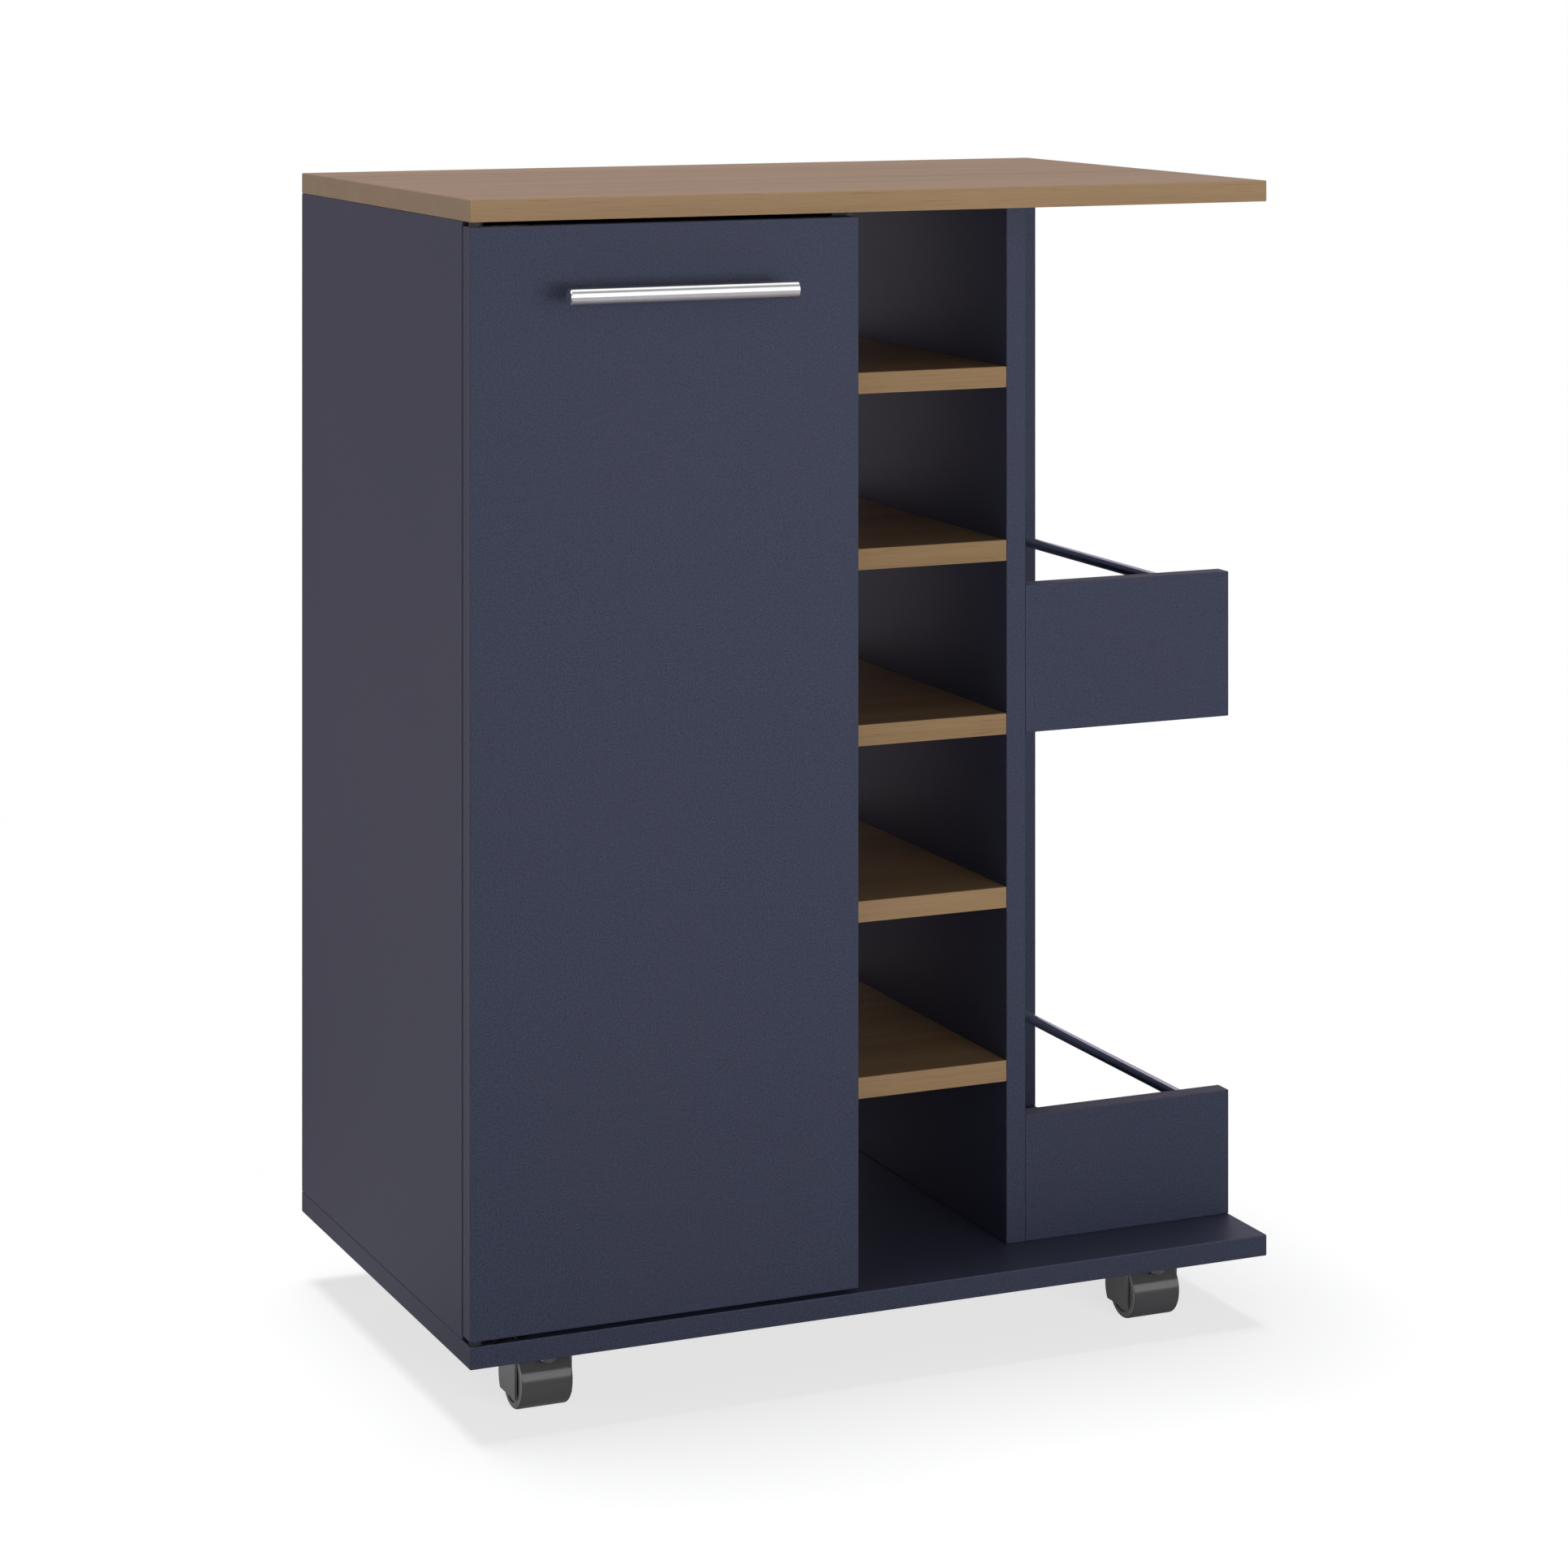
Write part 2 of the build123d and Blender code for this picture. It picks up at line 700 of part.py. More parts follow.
def caster_hood():
    """Hood: two skirts beside the wheel, a wrap over its back and top, and the stem's boss."""
    inner_half = hood_half_width - skirt_thickness
    far = 2 * hood_radius
    body = fillet(across(hood_radius, hood_half_width).edges(), 1)
    body -= across(hood_radius - hood_wall, inner_half)
    body -= block((-inner_half, inner_half), (-far, caster_trail - 2), (-far, far * 2))
    body -= block((-far, far), (-far, far * 2), (-far, skirt_height))
    body -= block((-far, far), (-far, caster_trail - skirt_lead), (-far, far * 2))
    saddle_bottom = wheel_radius + hood_radius - 0.8
    saddle = block((-9, 9), (-8, caster_trail + 6), (saddle_bottom, hood_top))
    saddle = fillet(saddle.edges().filter_by(Axis.Z), 4)
    rib_y = (caster_trail - 2, caster_trail + 2)
    rib = block((-inner_half - 1, inner_half + 1), rib_y, (saddle_bottom, hood_top - 3))
    boss_bottom = hood_top - boss_length
    boss_tip = [(0, boss_radius - 2), (1.2, boss_radius - 0.4), (2, boss_radius)]
    boss_profile = boss_tip + [(boss_length - 0.5, boss_radius)]
    boss = turned(boss_profile, (0, 0, boss_bottom), UP)
    stem_bore = turned([(1.5, stem_pin_radius), (20, stem_pin_radius)], (0, 0, boss_bottom), UP, fit_gap)
    axle_bore = across(axle_radius + 0.02, hood_half_width - axle_cover)
    return body + saddle + boss + rib - stem_bore - axle_bore


def caster_axle():
    half = hood_half_width - axle_cover - 0.2
    return turned(rounded_bar(2 * axle_radius, 2 * half, 0.4), (-half, caster_trail, wheel_radius), RIGHT)


def caster_wheel():
    """Wide barrel wheel with rounded shoulders, recessed faces and the axle's bore."""
    half = wheel_width / 2
    wheel = across(wheel_radius, half)
    wheel = fillet(wheel.edges().filter_by(GeomType.CIRCLE), wheel_shoulder)
    recess_profile = [(-1, wheel_recess_radius), (wheel_recess_depth, wheel_recess_radius - 1)]
    hub_profile = [(-2, wheel_hub_radius), (wheel_recess_depth + 1, wheel_hub_radius + 0.6)]
    for side in (-1, 1):
        start = (side * half, caster_trail, wheel_radius)
        inward = (-side, 0, 0)
        wheel -= turned(recess_profile, start, inward) - turned(hub_profile, start, inward)
    return wheel - across(axle_radius + wheel_bore_gap, wheel_width)


def place_caster(piece, place):
    """Moves a caster piece to its stem axis, and turns it half round if its wheel leads."""
    x, y, way = place
    turn = 0 if way > 0 else 180
    return Pos(x, y, 0) * Rot(0, 0, turn) * piece


# ---- the whole cart ----
def build_parts():
    parts = {
        "worktop": [worktop()],
        "base_board": [base_board()],
        "left_side_panel": [left_side_panel()],
        "divider_panel": [divider_panel()],
        "right_side_panel": [right_side_panel()],
        "tray_back_board": [tray_back_board()],
        "back_panel": [back_panel()],
        "upper_tray_floor": [tray_floor()],
        "upper_tray_front": [tray_front(tray_floor_bottom, tray_front_upper_height)],
        "lower_tray_front": [tray_front(base_top, tray_front_lower_height)],
        "upper_guard_rod": [guard_rod(upper_rod_height)],
        "lower_guard_rod": [guard_rod(lower_rod_height)],
        "cam_housings": cams(),
        "hinge_socket_top": [hinge_socket(worktop_bottom, 1)],
        "hinge_socket_bottom": [hinge_socket(base_top, -1)],
        "hinge_washers": hinge_washers(),
        "catch_housing": [catch_housing()],
        "catch_magnet": [catch_magnet()],
        "door_panel": [door_panel()],
        "hinge_leaf_top": [hinge_leaf(door_top, 1)],
        "hinge_leaf_bottom": [hinge_leaf(door_bottom, -1)],
        "strike_plate": [strike_plate()],
        "door_bumpers": door_bumpers(),
        "handle_bar": [handle_bar()],
        "handle_posts": handle_posts(),
        "caster_stems": [place_caster(caster_stem(), place) for place in casters.values()],
        "caster_inserts": [place_caster(caster_insert(), place) for place in casters.values()],
    }
    for number, middle in enumerate(niche_shelf_heights(), start=1):
        parts[f"niche_shelf_{number}"] = [niche_shelf(middle)]
    for number, bottom in enumerate(cupboard_shelf_bottoms(), start=1):
        parts[f"cupboard_shelf_{number}"] = [cupboard_shelf(bottom)]
    for name in fasteners:
        parts[name] = fastener_solids(name)
    hood, axle, wheel = caster_hood(), caster_axle(), caster_wheel()
    for corner, place in casters.items():
        parts[f"caster_hood_{corner}"] = [place_caster(hood, place)]
        parts[f"caster_axle_{corner}"] = [place_caster(axle, place)]
        parts[f"caster_wheel_{corner}"] = [place_caster(wheel, place)]
    return parts


def write_parts(parts):
    os.makedirs("parts", exist_ok=True)
    for name, solids in parts.items():
        placed = [solid.moved(to_part_frame) for piece in solids for solid in piece.solids()]
        shape = placed[0] if len(placed) == 1 else Compound(placed)
        export_step(shape, f"parts/{name}.step")


write_parts(build_parts())
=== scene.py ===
import json
import math

import bpy
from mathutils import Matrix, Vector


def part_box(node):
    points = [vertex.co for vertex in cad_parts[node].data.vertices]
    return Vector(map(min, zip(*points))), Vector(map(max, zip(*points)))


# A rolling pantry cart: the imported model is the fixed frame, and this script gives it its
# materials, floor, light and camera. Everything is in metres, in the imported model's frame.

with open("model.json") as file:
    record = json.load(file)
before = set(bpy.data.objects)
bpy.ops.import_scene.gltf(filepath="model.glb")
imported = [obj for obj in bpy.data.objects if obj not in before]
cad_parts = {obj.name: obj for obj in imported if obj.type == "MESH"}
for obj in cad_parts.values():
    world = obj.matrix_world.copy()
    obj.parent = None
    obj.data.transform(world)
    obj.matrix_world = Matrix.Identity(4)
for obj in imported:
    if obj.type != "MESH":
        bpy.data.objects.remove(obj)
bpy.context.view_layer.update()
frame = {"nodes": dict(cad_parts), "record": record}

SLOT_OF_NODE = {part["node"]: part["material_slot"] for part in frame["record"]["subparts"]}
MM = 0.001
NOISE_RANGE = (0.3, 0.7)        # where nearly all values of a noise lie
EASED_EDGE = 1.2 * MM           # radius of a board's worn edges
MOULDED_EDGE = 0.8 * MM


# ---- colour and node helpers ----
def linear(red, green, blue):
    """Linear colour from screen values of 0 to 255."""
    def channel(value):
        value /= 255
        return value / 12.92 if value <= 0.04045 else ((value + 0.055) / 1.055) ** 2.4
    return (channel(red), channel(green), channel(blue), 1.0)


class Surface:
    """One procedural material and short calls that add nodes to it."""

    def __init__(self, name):
        self.material = bpy.data.materials.new(name)
        self.material.use_nodes = True
        self.tree = self.material.node_tree
        self.shader = self.tree.nodes["Principled BSDF"]

    def node(self, kind, settings=None, inputs=None):
        """Adds a node. inputs maps a socket's name or number to a value or to another socket."""
        new = self.tree.nodes.new(kind)
        for key, value in (settings or {}).items():
            setattr(new, key, value)
        for key, value in (inputs or {}).items():
            if isinstance(value, bpy.types.NodeSocket):
                self.tree.links.new(value, new.inputs[key])
            else:
                new.inputs[key].default_value = value
        return new

    def place(self, stretch=(1, 1, 1), shift=(0, 0, 0)):
        """Position on the part in metres, stretched and shifted."""
        coordinate = self.node("ShaderNodeTexCoord")
        mapping = self.node("ShaderNodeMapping", inputs={
            "Vector": coordinate.outputs["Object"], "Scale": stretch, "Location": shift})
        return mapping.outputs["Vector"]

    def noise(self, vector, scale, detail=2.0, roughness=0.5, distortion=0.0):
        return self.node("ShaderNodeTexNoise", inputs={
            "Vector": vector, "Scale": scale, "Detail": detail,
            "Roughness": roughness, "Distortion": distortion}).outputs["Fac"]

    def math(self, operation, first, second=0.0, clamp=False):
        return self.node("ShaderNodeMath", {"operation": operation, "use_clamp": clamp},
                         {0: first, 1: second}).outputs[0]

    def spread(self, value, low, high, to_low=0.0, to_high=1.0):
        """Maps the range low to high onto to_low to to_high, and clamps it."""
        return self.node("ShaderNodeMapRange", {"clamp": True}, {
            "Value": value, "From Min": low, "From Max": high,
            "To Min": to_low, "To Max": to_high}).outputs["Result"]

    def mix(self, factor, first, second, mode="MIX"):
        return self.node("ShaderNodeMix", {"data_type": "RGBA", "blend_type": mode},
                         {0: factor, 6: first, 7: second}).outputs[2]

    def ramp(self, value, stops):
        """Colours at positions from 0 to 1."""
        new = self.node("ShaderNodeValToRGB", inputs={"Fac": value})
        ramp = new.color_ramp
        while len(ramp.elements) < len(stops):
            ramp.elements.new(0.5)
        for element, (position, colour) in zip(ramp.elements, stops):
            element.position = position
            element.color = colour
        return new.outputs["Color"]

    def bump(self, height, distance, strength):
        return self.node("ShaderNodeBump", inputs={
            "Height": height, "Distance": distance, "Strength": strength}).outputs["Normal"]

    def edge_mask(self, radius):
        """0 on flat faces, rising to 1 at the edges, from the bevel normal's turn."""
        bevel = self.node("ShaderNodeBevel", {"samples": 4}, {"Radius": radius})
        geometry = self.node("ShaderNodeNewGeometry")
        turn = self.node("ShaderNodeVectorMath", {"operation": "DOT_PRODUCT"}, {
            0: bevel.outputs["Normal"], 1: geometry.outputs["Normal"]}).outputs["Value"]
        return self.spread(turn, 1.0, 0.86)

    def facing(self, axis):
        """The share of the true normal along an axis, 0 for X, 1 for Y, 2 for Z."""
        coordinate = self.node("ShaderNodeTexCoord")
        split = self.node("ShaderNodeSeparateXYZ", inputs={"Vector": coordinate.outputs["Normal"]})
        return split.outputs[axis]

    def finish(self, **inputs):
        """Sets the shader's inputs, given with underscores for spaces."""
        for key, value in inputs.items():
            socket = self.shader.inputs[key.replace("_", " ")]
            if isinstance(value, bpy.types.NodeSocket):
                self.tree.links.new(value, socket)
            else:
                socket.default_value = value
        return self.material


# ---- materials ----
# A number that ends in PER_M is a pattern's features per metre. A stretch gives them along
# each axis. Colours are given as they show on screen.
PEARL_PER_M = 1900
CLUMPS_PER_M = 800
CLOUDS_PER_M = 9
NAVY_WEAR_PER_M = 180
NAVY_GRAIN = ((0.38, linear(37, 41, 57)), (0.50, linear(51, 56, 75)), (0.62, linear(67, 71, 94)))
NAVY_CLOUD = linear(57, 58, 74)
NAVY_EDGE = linear(80, 83, 100)
NAVY_SEAL = 0.35
LAMINATE_RELIEF = 0.03 * MM


def navy_laminate():
    """Dark blue melamine with a fine pearl grain and slightly paler eased edges."""
    s = Surface("navy_laminate")
    here = s.place()
    pearl = s.noise(here, PEARL_PER_M, 3, 0.7)
    clumps = s.noise(here, CLUMPS_PER_M, 3, 0.6)
    cloud = s.noise(here, CLOUDS_PER_M, 3, 0.5)
    grain = s.math("ADD", s.math("MULTIPLY", pearl, 0.5), s.math("MULTIPLY", clumps, 0.5))
    base = s.ramp(grain, NAVY_GRAIN)
    clouded = s.mix(s.spread(cloud, *NOISE_RANGE, 0.0, 0.25), base, NAVY_CLOUD)
    patches = s.spread(s.noise(here, NAVY_WEAR_PER_M, 4, 0.6), 0.35, 0.7, 0.08, 0.35)
    worn = s.math("MULTIPLY", s.edge_mask(EASED_EDGE), patches)
    colour = s.mix(worn, clouded, NAVY_EDGE)
    rough = s.spread(clumps, *NOISE_RANGE, 0.36, 0.48)
    relief = s.bump(grain, LAMINATE_RELIEF, 0.5)
    return s.finish(Base_Color=colour, Roughness=rough, Specular_IOR_Level=NAVY_SEAL, Normal=relief)


BAND_STRETCH = (1.1, 34, 34)
BAND_WAVE = (0.0, 1.8, 1.8)
SWAY_STRETCH = (1.4, 9, 9)
FIBRE_STRETCH = (9, 620, 620)
PORE_STRETCH = (34, 1500, 1500)
WOOD_PATCHES_PER_M = 5
WOOD_WEAR_PER_M = 160
WOOD_GRAIN = ((0.30, linear(121, 95, 64)), (0.45, linear(140, 113, 81)),
              (0.58, linear(150, 122, 89)), (0.75, linear(161, 133, 100)))
WOOD_PORE = linear(96, 70, 45)
WOOD_PATCH = linear(152, 122, 92)
WOOD_EDGE = linear(182, 154, 121)
WOOD_END_TAPE = linear(170, 143, 111)


def wood_laminate(name="wood_laminate", shift=(0.0, 0.0, 0.0), seal=0.5):
    """Light brown laminate with its grain along X: bands, fibres, pores, a satin seal and
    paler edge tape on the ends."""
    s = Surface(name)
    along = s.place((1, 1, 1), shift)
    sway = s.noise(s.place(SWAY_STRETCH, shift), 1.0, 2, 0.5)
    stretched = s.place(BAND_STRETCH, shift)
    waved = s.node("ShaderNodeVectorMath", {"operation": "MULTIPLY_ADD"},
                   {0: sway, 1: BAND_WAVE, 2: stretched}).outputs["Vector"]
    bands = s.noise(waved, 1.0, 3, 0.55, 0.3)
    fibres = s.noise(s.place(FIBRE_STRETCH, shift), 1.0, 3, 0.6)
    pores = s.noise(s.place(PORE_STRETCH, shift), 1.0, 2, 0.5)
    grain = s.math("ADD", s.math("MULTIPLY", bands, 0.7), s.math("MULTIPLY", fibres, 0.3))
    base = s.ramp(grain, WOOD_GRAIN)
    pore_mask = s.spread(pores, 0.60, 0.72, 0.0, 0.45)
    dark = s.mix(pore_mask, base, WOOD_PORE)
    patch = s.spread(s.noise(along, WOOD_PATCHES_PER_M, 2, 0.5), 0.35, 0.65, 0.0, 0.25)
    tinted = s.mix(patch, dark, WOOD_PATCH)
    rubbed = s.spread(s.noise(along, WOOD_WEAR_PER_M, 3), 0.35, 0.7, 0.2, 0.6)
    worn = s.math("MULTIPLY", s.edge_mask(EASED_EDGE), rubbed)
    colour = s.mix(worn, tinted, WOOD_EDGE)
    end = s.spread(s.math("ABSOLUTE", s.facing(0)), 0.8, 0.95, 0.0, 0.6)
    colour = s.mix(end, colour, WOOD_END_TAPE)
    rough = s.spread(fibres, *NOISE_RANGE, 0.40, 0.52)
    height = s.math("SUBTRACT", s.math("MULTIPLY", fibres, 0.5), pore_mask)
    relief = s.bump(height, LAMINATE_RELIEF, 0.6)
    return s.finish(Base_Color=colour, Roughness=rough, Normal=relief, Specular_IOR_Level=seal)


BOARD_FIBRES_PER_M = 420
BOARD_MOTTLE_PER_M = 22
PRINT_DOTS_PER_M = 1500
SCREEN_WAVES_PER_M = 210
BOARD_BROWN = ((0.30, linear(86, 60, 38)), (0.50, linear(112, 82, 54)), (0.75, linear(140, 108, 76)))
BOARD_MOTTLE = linear(98, 70, 47)
BOARD_PRINT = ((0.3, linear(46, 50, 69)), (0.7, linear(58, 61, 82)))
BOARD_RELIEF = 0.12 * MM


def back_hardboard():
    """Thin hardboard: dark printed face inside, bare brown board with a screen weave behind."""
    s = Surface("back_hardboard")
    here = s.place()
    behind = s.spread(s.facing(1), 0.4, 0.6)
    fibre = s.noise(here, BOARD_FIBRES_PER_M, 5, 0.7)
    mottle = s.noise(here, BOARD_MOTTLE_PER_M, 3, 0.6)
    brown = s.ramp(fibre, BOARD_BROWN)
    brown = s.mix(s.spread(mottle, *NOISE_RANGE, 0.0, 0.3), brown, BOARD_MOTTLE)
    dark = s.ramp(s.noise(here, PRINT_DOTS_PER_M, 2), BOARD_PRINT)
    waves = []
    for axis in ("X", "Z"):
        wave = s.node("ShaderNodeTexWave", {"bands_direction": axis}, {
            "Vector": here, "Scale": SCREEN_WAVES_PER_M, "Distortion": 0.6})
        waves.append(wave.outputs["Fac"])
    weave = s.math("MULTIPLY", waves[0], waves[1])
    height = s.math("ADD", s.math("MULTIPLY", weave, behind), s.math("MULTIPLY", fibre, 0.4))
    colour = s.mix(behind, dark, brown)
    rough = s.spread(behind, 0, 1, 0.5, 0.82)
    return s.finish(Base_Color=colour, Roughness=rough, Normal=s.bump(height, BOARD_RELIEF, 0.6))


FLECK_STRETCH = (300, 300, 60)
BEECH = ((0.3, linear(176, 137, 94)), (0.6, linear(207, 171, 126)), (0.8, linear(222, 190, 148)))
BEECH_RELIEF = 0.1 * MM


def dowel_wood():
    """Bare beech with short flecks."""
    s = Surface("dowel_wood")
    fleck = s.noise(s.place(FLECK_STRETCH), 4, 3, 0.6)
    colour = s.ramp(fleck, BEECH)
    return s.finish(Base_Color=colour, Roughness=0.7, Normal=s.bump(fleck, BEECH_RELIEF, 0.4))


METAL_CLOUDS_PER_M = 60
BRUSHED_ALONG_X = (30, 2600, 2600)
BRUSHED_ALONG_Y = (2600, 30, 2600)


def plated_metal(name, dark, light, roughness, stretch, scratch):
    """Plated metal: brushing along the stretch, scratch deep, and faint clouding from dark to
    light. The roughness is a range."""
    s = Surface(name)
    brush = s.noise(s.place(stretch), 1.0, 4, 0.7)
    cloud = s.noise(s.place(), METAL_CLOUDS_PER_M, 3, 0.6)
    colour = s.ramp(cloud, [(0.3, dark), (0.7, light)])
    rough = s.spread(s.math("ADD", brush, s.math("MULTIPLY", cloud, 0.5)), 0.5, 1.0, *roughness)
    relief = s.bump(brush, scratch, 0.35)
    return s.finish(Base_Color=colour, Metallic=1.0, Roughness=rough, Normal=relief)


def handle_chrome():
    return plated_metal("handle_chrome", dark=(0.82, 0.825, 0.83, 1), light=(0.90, 0.90, 0.91, 1),
                        roughness=(0.07, 0.14), stretch=BRUSHED_ALONG_X, scratch=0.01 * MM)


def bright_steel():
    return plated_metal("bright_steel", dark=(0.86, 0.87, 0.88, 1), light=(0.93, 0.94, 0.95, 1),
                        roughness=(0.10, 0.18), stretch=BRUSHED_ALONG_Y, scratch=0.01 * MM)


def zinc_steel():
    return plated_metal("zinc_steel", dark=(0.40, 0.41, 0.43, 1), light=(0.62, 0.63, 0.65, 1),
                        roughness=(0.28, 0.42), stretch=(400, 400, 400), scratch=0.02 * MM)


def zinc_alloy():
    return plated_metal("zinc_alloy", dark=(0.33, 0.34, 0.35, 1), light=(0.48, 0.49, 0.50, 1),
                        roughness=(0.38, 0.55), stretch=(700, 700, 700), scratch=0.04 * MM)


FLOW_STRETCH = (20, 20, 90)
SCUFFS_PER_M = 400
SCUFF = linear(150, 150, 150)
# Paler grey for the faces across X of hood and wheel. On the hood it is painted light on the lit
# sides; on the wheel it is partly a lighter side plastic and partly painted light.
CASTER_SIDE_TONE_AND_LIGHT = linear(160, 160, 160)


def moulded_plastic(name, low, high, roughness, grain_per_m, grain_depth, side_tone_and_light=None, shine=0.5):
    """Moulded plastic: spark-eroded grain, flow marks from low to high and scuffed edges. The
    roughness is a range. The optional side colour goes on the faces across X: it is painted light on
    the lit sides, and on the wheel it is partly the wheel's lighter side plastic."""
    s = Surface(name)
    here = s.place()
    grain = s.noise(here, grain_per_m, 3, 0.6)
    flow = s.noise(s.place(FLOW_STRETCH), 1.0, 3, 0.5)
    colour = s.ramp(flow, [(0.3, low), (0.7, high)])
    # Painted light: the faces across X take the paler side colour.
    if side_tone_and_light is not None:
        colour = s.mix(s.spread(s.math("ABSOLUTE", s.facing(0)), 0.75, 0.9), colour, side_tone_and_light)
    scuffed = s.spread(s.noise(here, SCUFFS_PER_M, 4), 0.4, 0.65, 0.0, 0.35)
    colour = s.mix(s.math("MULTIPLY", s.edge_mask(MOULDED_EDGE), scuffed), colour, SCUFF)
    rough = s.spread(grain, *NOISE_RANGE, *roughness)
    return s.finish(Base_Color=colour, Roughness=rough, Specular_IOR_Level=shine,
                    Normal=s.bump(grain, grain_depth, 0.5))


def caster_plastic():
    return moulded_plastic("caster_plastic", low=linear(84, 84, 85), high=linear(92, 92, 93),
                           roughness=(0.34, 0.46), grain_per_m=1800, grain_depth=0.02 * MM,
                           side_tone_and_light=CASTER_SIDE_TONE_AND_LIGHT)


def wheel_plastic():
    return moulded_plastic("wheel_plastic", low=linear(78, 78, 79), high=linear(84, 84, 85),
                           roughness=(0.12, 0.20), grain_per_m=900, grain_depth=0.01 * MM,
                           side_tone_and_light=CASTER_SIDE_TONE_AND_LIGHT, shine=1.0)


def black_nylon():
    return moulded_plastic("black_nylon", low=linear(30, 30, 32), high=linear(40, 40, 42),
                           roughness=(0.40, 0.55), grain_per_m=1500, grain_depth=0.03 * MM)


HAZE_PER_M = 500
PAD_HAZE = ((0.3, linear(150, 152, 155)), (0.7, linear(178, 180, 182)))
PAD_RELIEF = 0.05 * MM


def soft_pad():
    """Clear grey bumper pad."""
    s = Surface("soft_pad")
    haze = s.noise(s.place(), HAZE_PER_M, 2)
    colour = s.ramp(haze, PAD_HAZE)
    return s.finish(Base_Color=colour, Roughness=0.35, Transmission_Weight=0.4,
                    Normal=s.bump(haze, PAD_RELIEF, 0.3))


MATERIALS = {
    "navy_laminate": navy_laminate(),
    "wood_laminate": wood_laminate(),
    "back_hardboard": back_hardboard(),
    "dowel_wood": dowel_wood(),
    "handle_chrome": handle_chrome(),
    "bright_steel": bright_steel(),
    "zinc_steel": zinc_steel(),
    "zinc_alloy": zinc_alloy(),
    "caster_plastic": caster_plastic(),
    "wheel_plastic": wheel_plastic(),
    "black_nylon": black_nylon(),
    "soft_pad": soft_pad(),
}


SHELF_SHIFT = (0.37, 0.61)      # steps through the grain from one niche shelf to the next
SHELF_SEAL = 0.25


def shelf_wood(number):
    """Wood cut from the shelf's own stretch of grain, duller than the worktop."""
    shift = (SHELF_SHIFT[0] * number, SHELF_SHIFT[1] * number, 0.0)
    return wood_laminate(f"wood_laminate_shelf_{number}", shift, SHELF_SEAL)


def dress_nodes():
    """Every CAD node gets its slot's material, and each niche shelf its own wood."""
    for name, node in frame["nodes"].items():
        material = MATERIALS[SLOT_OF_NODE[name]]
        number = name.removeprefix("niche_shelf_")
        if number.isdigit():
            material = shelf_wood(int(number))
        node.data.materials.clear()
        node.data.materials.append(material)


dress_nodes()


# ---- floor, light and camera ----
FLOOR_HALF = 200
FLOOR_SEEN = 0.72               # share of the floor's own white in the camera's view
AMBIENT = 0.10
FRONT_FLOOR_IN_GLOSS = (0.12, 0.50)     # strength near the cart and far from it; the low near value is painted shade
# Painted shade: behind the cart, the floor's glow in reflections is dimmed where the cart's shade
# would fall.
PAINTED_BACK_SHADE_IN_GLOSS = (0.02, 0.09)
LEFT_FLOOR_IN_GLOSS = (0.42, 0.62)
FRONT_FADE = (-0.2, -1.3)               # where it changes from near to far, along Y
BACK_FADE = (0.3, 1.8)
PAINTED_SHADE_SLANT = -0.33                     # how far the painted shade's left edge moves in X per metre of Y
PAINTED_SHADE_EDGE = (0.14, 0.25)               # where the painted shade ends, left of the slanted line
WALL = (1.2, 1.2, 1.2, 1)
CEILING = (0.38, 0.38, 0.38, 1)
BACK_WALL = (0.37, 0.32, 0.42, 1)
STUDIO_BANDS = ((0.0, WALL), (0.24, WALL), (0.31, CEILING), (0.42, CEILING), (0.48, (1, 1, 1, 1)),
                (0.55, WALL), (0.72, WALL), (0.84, BACK_WALL), (1.0, BACK_WALL))
# Purple tint painted into the shaded part of the floor's glow. It colours the reflections in the
# niche walls.
PAINTED_SHADE_TINT = (1.0, 0.68, 1.14, 1)
CLEAR_TINT = (1.0, 0.95, 1.02, 1)
FLOOR_BOUNCE = ((0.3, (0.79, 0.79, 0.79, 1)), (0.7, (0.81, 0.81, 0.81, 1)))
FLOOR_SHOWN = ((0.3, (0.34, 0.34, 0.34, 1)), (0.7, (0.36, 0.36, 0.36, 1)))


def painted_floor_glow_in_gloss(s):
    """The floor's painted glow in reflections: it is painted dimmer towards the cart in front,
    painted low behind it as the cart's shade, and higher again to the left of that painted shade."""
    place = s.node("ShaderNodeNewGeometry").outputs["Position"]
    split = s.node("ShaderNodeSeparateXYZ", inputs={"Vector": place})
    front = s.spread(split.outputs["Y"], *FRONT_FADE, *FRONT_FLOOR_IN_GLOSS)
    # Painted shade behind the cart, lifted again left of a slanted edge.
    shade = s.spread(split.outputs["Y"], *BACK_FADE, *PAINTED_BACK_SHADE_IN_GLOSS)
    left = s.spread(split.outputs["Y"], *BACK_FADE, *LEFT_FLOOR_IN_GLOSS)
    behind = s.spread(split.outputs["Y"], -0.2, 0.2)
    slant = s.math("MULTIPLY", split.outputs["Y"], PAINTED_SHADE_SLANT)
    clear = s.spread(s.math("SUBTRACT", slant, split.outputs["X"]), *PAINTED_SHADE_EDGE)
    back = s.spread(clear, 0.0, 1.0, shade, left)
    strength = s.spread(behind, 0.0, 1.0, front, back)
    tint = s.mix(s.math("SUBTRACT", behind, clear, True), CLEAR_TINT, PAINTED_SHADE_TINT)
    return s.node("ShaderNodeEmission", inputs={"Color": tint, "Strength": strength}).outputs[0]


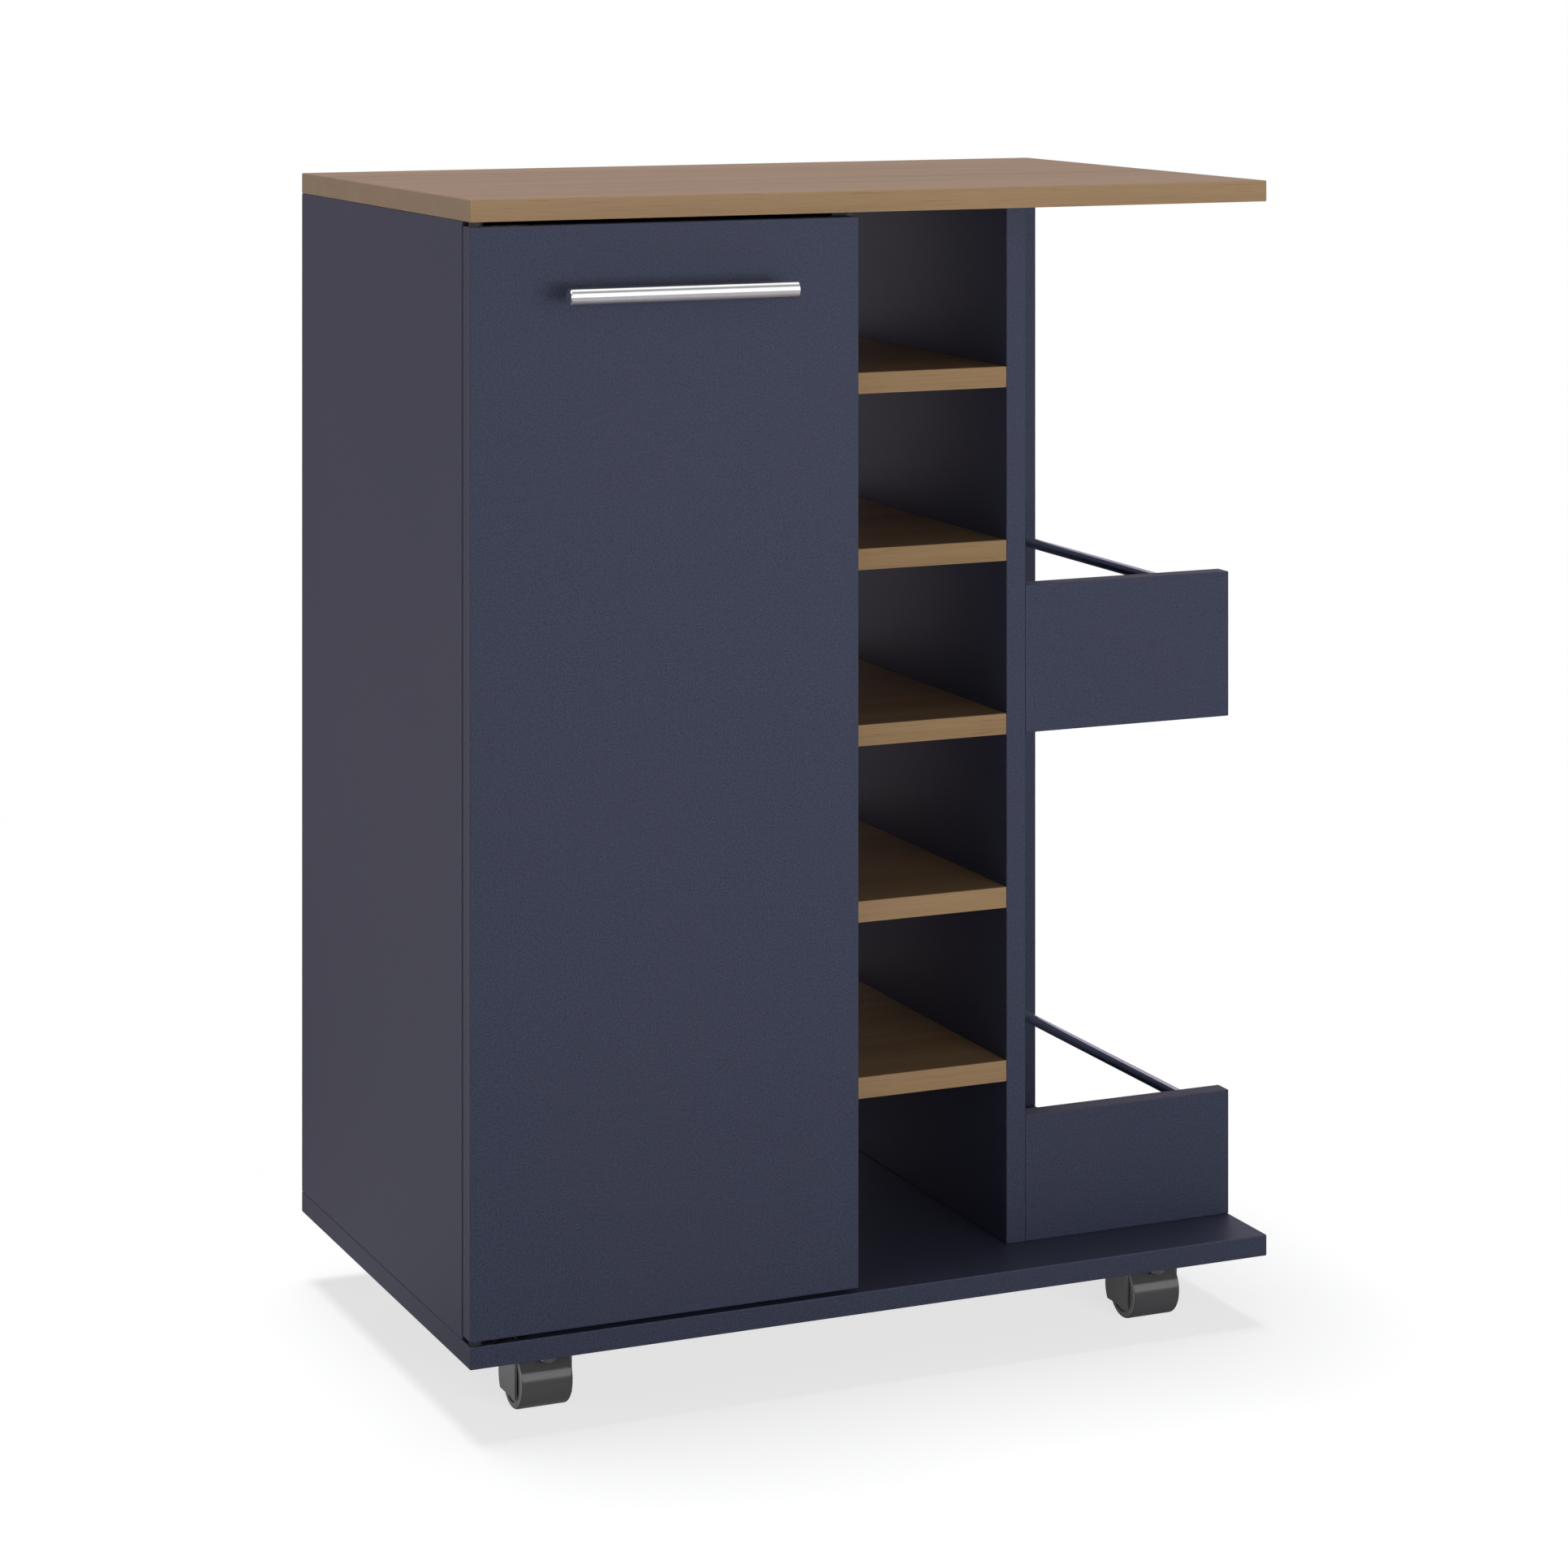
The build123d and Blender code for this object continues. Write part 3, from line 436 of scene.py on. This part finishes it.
def floor():
    """Wide pale floor, white to the camera. It bounces light as a pale floor does, and in
    reflections shows as a painted grey glow, with painted shade near and behind the cart."""
    mesh = bpy.data.meshes.new("studio_floor")
    corners = [(x * FLOOR_HALF, y * FLOOR_HALF, 0) for x, y in ((-1, -1), (1, -1), (1, 1), (-1, 1))]
    mesh.from_pydata(corners, [], [(0, 1, 2, 3)])
    plane = bpy.data.objects.new("studio_floor", mesh)
    bpy.context.scene.collection.objects.link(plane)
    s = Surface("studio_floor")
    dust = s.noise(s.place(), 3, 3)
    bounced = s.ramp(dust, FLOOR_BOUNCE)
    seen = s.ramp(dust, FLOOR_SHOWN)
    path = s.node("ShaderNodeLightPath")
    bounce = s.node("ShaderNodeBsdfDiffuse", inputs={"Color": bounced}).outputs[0]
    shown = s.node("ShaderNodeBsdfDiffuse", inputs={"Color": seen}).outputs[0]
    glow = s.node("ShaderNodeEmission", inputs={"Strength": FLOOR_SEEN}).outputs[0]
    shown = s.node("ShaderNodeAddShader", inputs={0: shown, 1: glow}).outputs[0]
    # Reflections see the painted glow and painted shade in place of the lit floor. The camera sees
    # the even white.
    first = s.node("ShaderNodeMixShader", inputs={
        0: path.outputs["Is Glossy Ray"], 1: bounce, 2: painted_floor_glow_in_gloss(s)})
    whole = s.node("ShaderNodeMixShader", inputs={
        0: path.outputs["Is Camera Ray"], 1: first.outputs[0], 2: shown})
    s.tree.links.new(whole.outputs[0], s.tree.nodes["Material Output"].inputs["Surface"])
    s.tree.nodes.remove(s.shader)
    mesh.materials.append(s.material)


def studio_sky():
    """White to the camera and a low ambient for the rest. Reflections see a studio's bands from
    the front horizon over the top to the back one: wall, grey ceiling, light, dimmer wall."""
    world = bpy.data.worlds.new("studio_sky")
    bpy.context.scene.world = world
    world.use_nodes = True
    s = Surface.__new__(Surface)
    s.tree = world.node_tree
    direction = s.node("ShaderNodeTexCoord").outputs["Generated"]
    split = s.node("ShaderNodeSeparateXYZ", inputs={"Vector": direction})
    ahead = s.math("MULTIPLY", split.outputs["Y"], -1)
    around = s.math("DIVIDE", s.math("ARCTAN2", split.outputs["Z"], ahead), math.pi)
    in_gloss = s.ramp(around, STUDIO_BANDS)
    path = s.node("ShaderNodeLightPath")
    lit = s.mix(path.outputs["Is Glossy Ray"], (AMBIENT, AMBIENT, AMBIENT, 1), in_gloss)
    seen = s.mix(path.outputs["Is Camera Ray"], lit, (1, 1, 1, 1))
    s.tree.links.new(seen, s.tree.nodes["Background"].inputs["Color"])


def lamp(kind, name, colour, towards):
    """A lamp that shines along the given direction and isn't seen in reflections."""
    light = bpy.data.lights.new(name, kind)
    light.color = colour
    lamp_object = bpy.data.objects.new(name, light)
    lamp_object.rotation_mode = "QUATERNION"
    lamp_object.rotation_quaternion = Vector(towards).to_track_quat("-Z", "Y")
    lamp_object.visible_glossy = False
    lamp_object.visible_camera = False
    bpy.context.scene.collection.objects.link(lamp_object)
    return lamp_object


def sun(name, towards, lit, softness, colour):
    """A broad far light. lit is how bright it makes a white surface that faces it."""
    far = lamp("SUN", name, colour, towards)
    far.data.energy = lit * math.pi
    far.data.angle = math.radians(softness)


def softbox(name, place, towards, size, power, spread):
    """A white rectangular soft light with a grid that keeps its beam within the spread."""
    box = lamp("AREA", name, (1, 1, 1), towards)
    box.location = place
    box.data.shape = "RECTANGLE"
    box.data.size, box.data.size_y = size
    box.data.energy = power
    box.data.spread = math.radians(spread)


def studio_lights():
    """A cool top light, a warm fill from the left and a softbox in front of the niche."""
    sun("top_light", towards=(0.05, -0.10, -1), lit=0.70, softness=20, colour=(0.97, 0.985, 1.0))
    sun("left_fill", towards=(1, 0.12, -0.1), lit=0.165, softness=40, colour=(1.0, 0.95, 0.90))
    softbox("front_key", place=(0.25, -2.5, 0.58), towards=(0, 1, 0), size=(1.6, 0.5), power=8.6,
            spread=90)


VIEW_YAW = math.radians(23.846)
CAMERA_FROM_CORNER = Vector((-0.8913, -2.5797, 0.9233))
LENS = 95.217
SENSOR = 36
AXIS_SHIFT = -0.02126
HORIZON_SHIFT = -0.52359
SHIFT_TOLERANCE = 0.001
CLIP_NEAR = 0.05
CLIP_FAR = 1000


def shift_at_viewpoint(data, eye, axis, amount):
    """Drives a lens shift by the camera's own place: it is there at the main viewpoint and
    nowhere else, so that every other view is centred."""
    driver = data.driver_add(axis).driver
    driver.type = "SCRIPTED"
    place = driver.variables.new()
    place.name = "x"
    place.type = "SINGLE_PROP"
    place.targets[0].id = eye
    place.targets[0].data_path = "location[0]"
    driver.expression = f"{amount} if abs(x - {eye.location.x:.6f}) < {SHIFT_TOLERANCE} else 0"


def camera():
    """Level camera with a lens shift, so that upright edges stay parallel."""
    data = bpy.data.cameras.new("camera")
    data.lens = LENS
    data.sensor_width = SENSOR
    data.clip_start = CLIP_NEAR
    data.clip_end = CLIP_FAR
    eye = bpy.data.objects.new("camera", data)
    eye.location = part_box("base_board")[0] + CAMERA_FROM_CORNER
    eye.rotation_mode = "QUATERNION"
    look = Vector((math.sin(VIEW_YAW), math.cos(VIEW_YAW), 0))
    eye.rotation_quaternion = look.to_track_quat("-Z", "Y")
    bpy.context.scene.collection.objects.link(eye)
    bpy.context.scene.camera = eye
    shift_at_viewpoint(data, eye, "shift_x", AXIS_SHIFT)
    shift_at_viewpoint(data, eye, "shift_y", HORIZON_SHIFT)


floor()
studio_sky()
studio_lights()
camera()
bpy.context.scene.view_settings.view_transform = "Standard"
